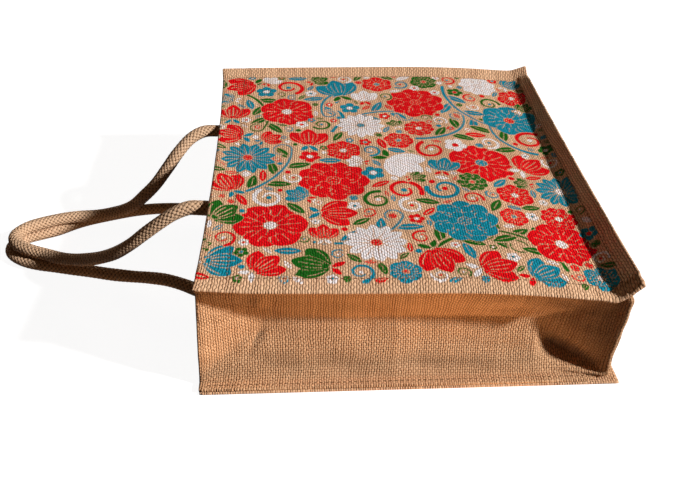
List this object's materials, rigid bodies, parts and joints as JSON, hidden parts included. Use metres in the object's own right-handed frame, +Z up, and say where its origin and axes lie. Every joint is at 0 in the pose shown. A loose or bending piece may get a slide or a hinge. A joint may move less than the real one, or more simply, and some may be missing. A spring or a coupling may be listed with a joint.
{
  "type": "jute tote bag",
  "caption": "Boxy jute tote bag lying on its back panel with its mouth open, printed front panel up, and padded rope handles.",
  "frame": {"origin": "centre of the footprint of the bag's cloth, on the surface that its back panel lies on; the rope handles reach out past it", "axes": "+X from the mouth towards the base, +Y from the near side gusset to the far one, +Z up, square to the back panel"},
  "size_m": [0.5773, 0.3898, 0.1289],
  "materials": {
    "front_cloth": "natural jute plain weave with a printed pattern of flowers and leaves, matt",
    "back_cloth": "natural jute plain weave, unprinted, matt",
    "gusset_cloth": "natural jute plain weave, unprinted, matt",
    "handle_rope": "jute cloth tape wound round a padded core, matt"
  },
  "bodies": {
    "root": {"front_panel": "front_cloth", "back_panel": "back_cloth", "gusset": "gusset_cloth", "handle_back": "handle_rope", "handle_front": "handle_rope"}
  },
  "joints": []
}
